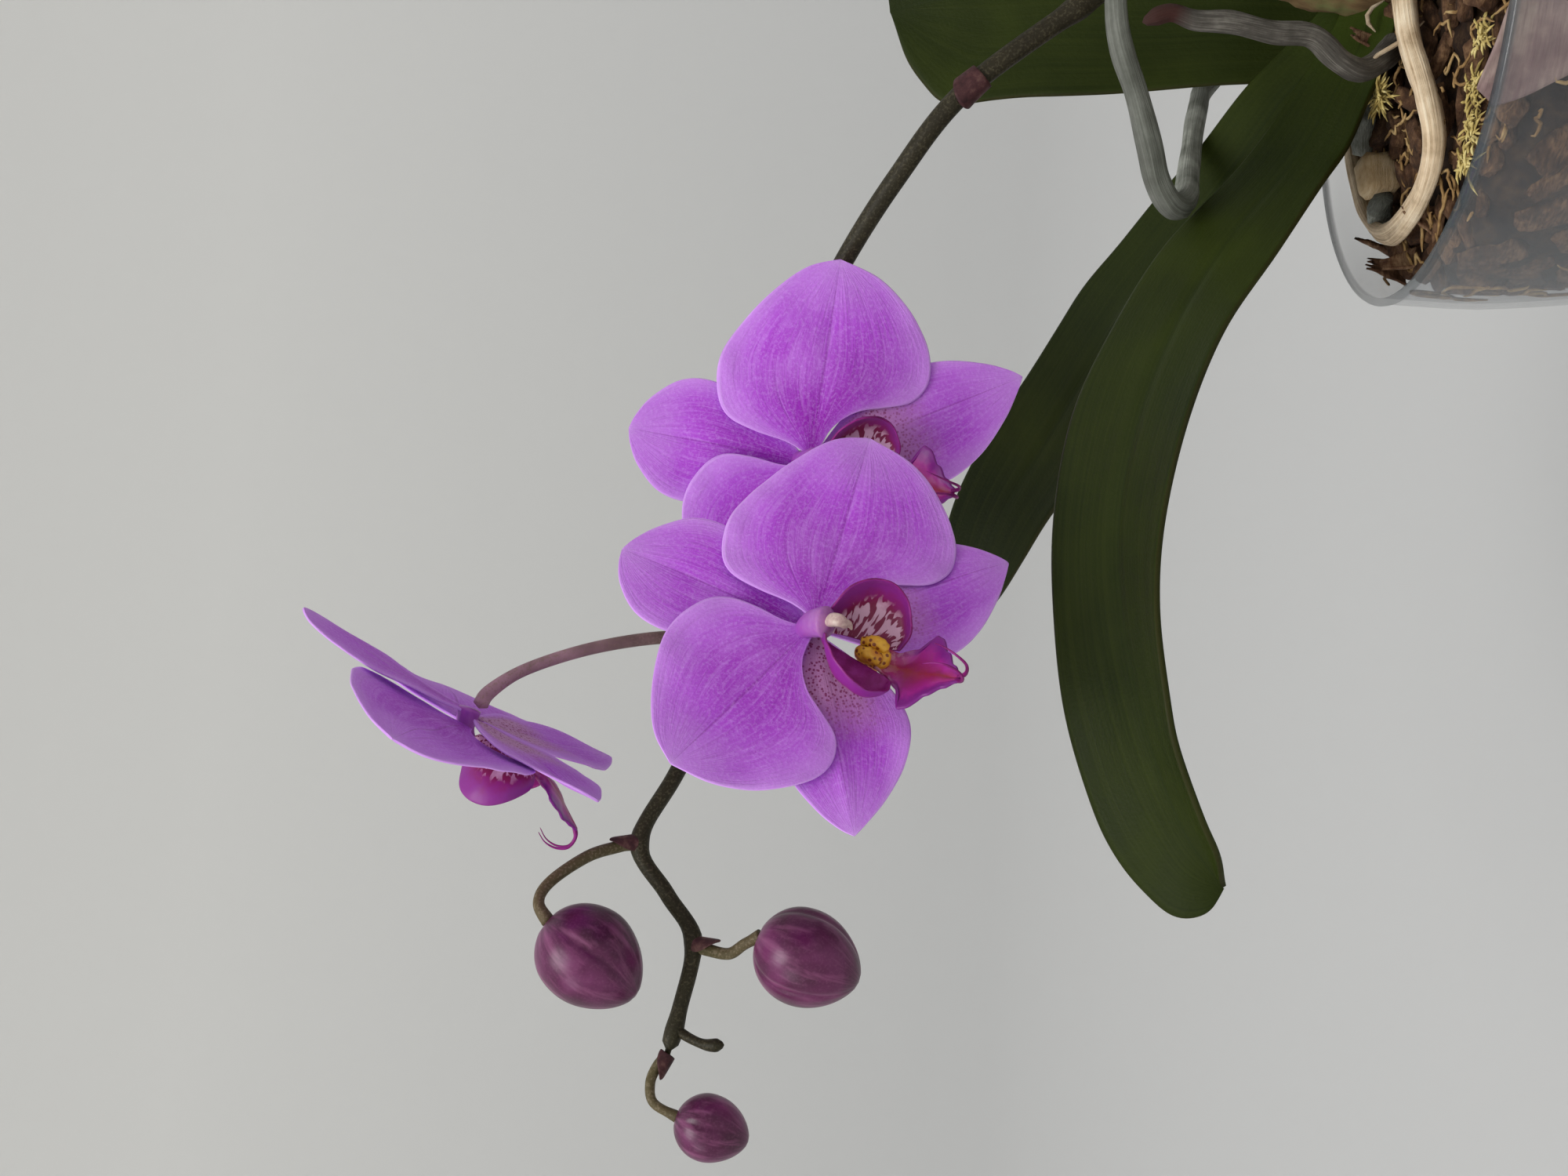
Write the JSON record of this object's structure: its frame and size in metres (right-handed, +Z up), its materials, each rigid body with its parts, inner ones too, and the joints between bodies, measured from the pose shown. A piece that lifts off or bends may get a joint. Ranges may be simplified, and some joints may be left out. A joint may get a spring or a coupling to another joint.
{
  "type": "potted moth orchid",
  "caption": "Moth orchid in a clear round pot, with strap leaves, aerial roots, an arching flower spike, open magenta flowers and closed buds.",
  "frame": {"origin": "centre of the pot's flat underside", "axes": "+Z up along the pot's axis; -Y towards the side that the open flowers face; the flower spike arches towards -X"},
  "size_m": [0.3793, 0.1302, 0.3365],
  "materials": {
    "clear_plastic": "gloss",
    "bark_and_moss": "matte",
    "pale_bark": "matte",
    "moss": "matte",
    "dry_leaf": "matte",
    "leaf_green": "satin",
    "silver_root": "matte",
    "dry_root": "matte",
    "spike_olive": "satin",
    "bract_purple": "matte",
    "petal_magenta": "satin",
    "lip_crimson": "satin",
    "column_lilac": "satin",
    "bud_maroon": "satin"
  },
  "bodies": {
    "root": {"aborted_bud": "spike_olive", "bark_chip_front": "bark_and_moss", "bark_chip_pale": "pale_bark", "bark_chip_right": "bark_and_moss", "bract_bud_1": "bract_purple", "bract_bud_2": "bract_purple", "bract_bud_3": "bract_purple", "bract_flower_top": "bract_purple", "bud_1": "bud_maroon", "bud_1_pedicel": "spike_olive", "bud_2": "bud_maroon", "bud_2_pedicel": "spike_olive", "bud_3": "bud_maroon", "bud_3_pedicel": "spike_olive", "dead_leaf": "dry_leaf", "flower_front_column": "column_lilac", "flower_front_dorsal_sepal": "petal_magenta", "flower_front_lateral_sepal_left": "petal_magenta", "flower_front_lateral_sepal_right": "petal_magenta", "flower_front_lip": "lip_crimson", "flower_front_pedicel": "spike_olive", "flower_front_petal_left": "petal_magenta", "flower_front_petal_right": "petal_magenta", "flower_middle_column": "column_lilac", "flower_middle_dorsal_sepal": "petal_magenta", "flower_middle_lateral_sepal_left": "petal_magenta", "flower_middle_lateral_sepal_right": "petal_magenta", "flower_middle_lip": "lip_crimson", "flower_middle_pedicel": "spike_olive", "flower_middle_petal_left": "petal_magenta", "flower_middle_petal_right": "petal_magenta", "flower_spike": "spike_olive", "flower_top_column": "column_lilac", "flower_top_dorsal_sepal": "petal_magenta", "flower_top_lateral_sepal_left": "petal_magenta", "flower_top_lateral_sepal_right": "petal_magenta", "flower_top_lip": "lip_crimson", "flower_top_pedicel": "spike_olive", "flower_top_petal_left": "petal_magenta", "flower_top_petal_right": "petal_magenta", "husk_left": "bark_and_moss", "leaf_back": "leaf_green", "leaf_front": "leaf_green", "leaf_right": "leaf_green", "leaf_upright": "leaf_green", "moss_tuft_back": "moss", "moss_tuft_front": "moss", "pot": "clear_plastic", "potting_medium": "bark_and_moss", "root_dry": "dry_root", "root_looped": "silver_root", "root_rising": "silver_root", "root_stub_grey": "silver_root", "spike_sheath": "bract_purple", "stem": "dry_root"}
  },
  "joints": []
}
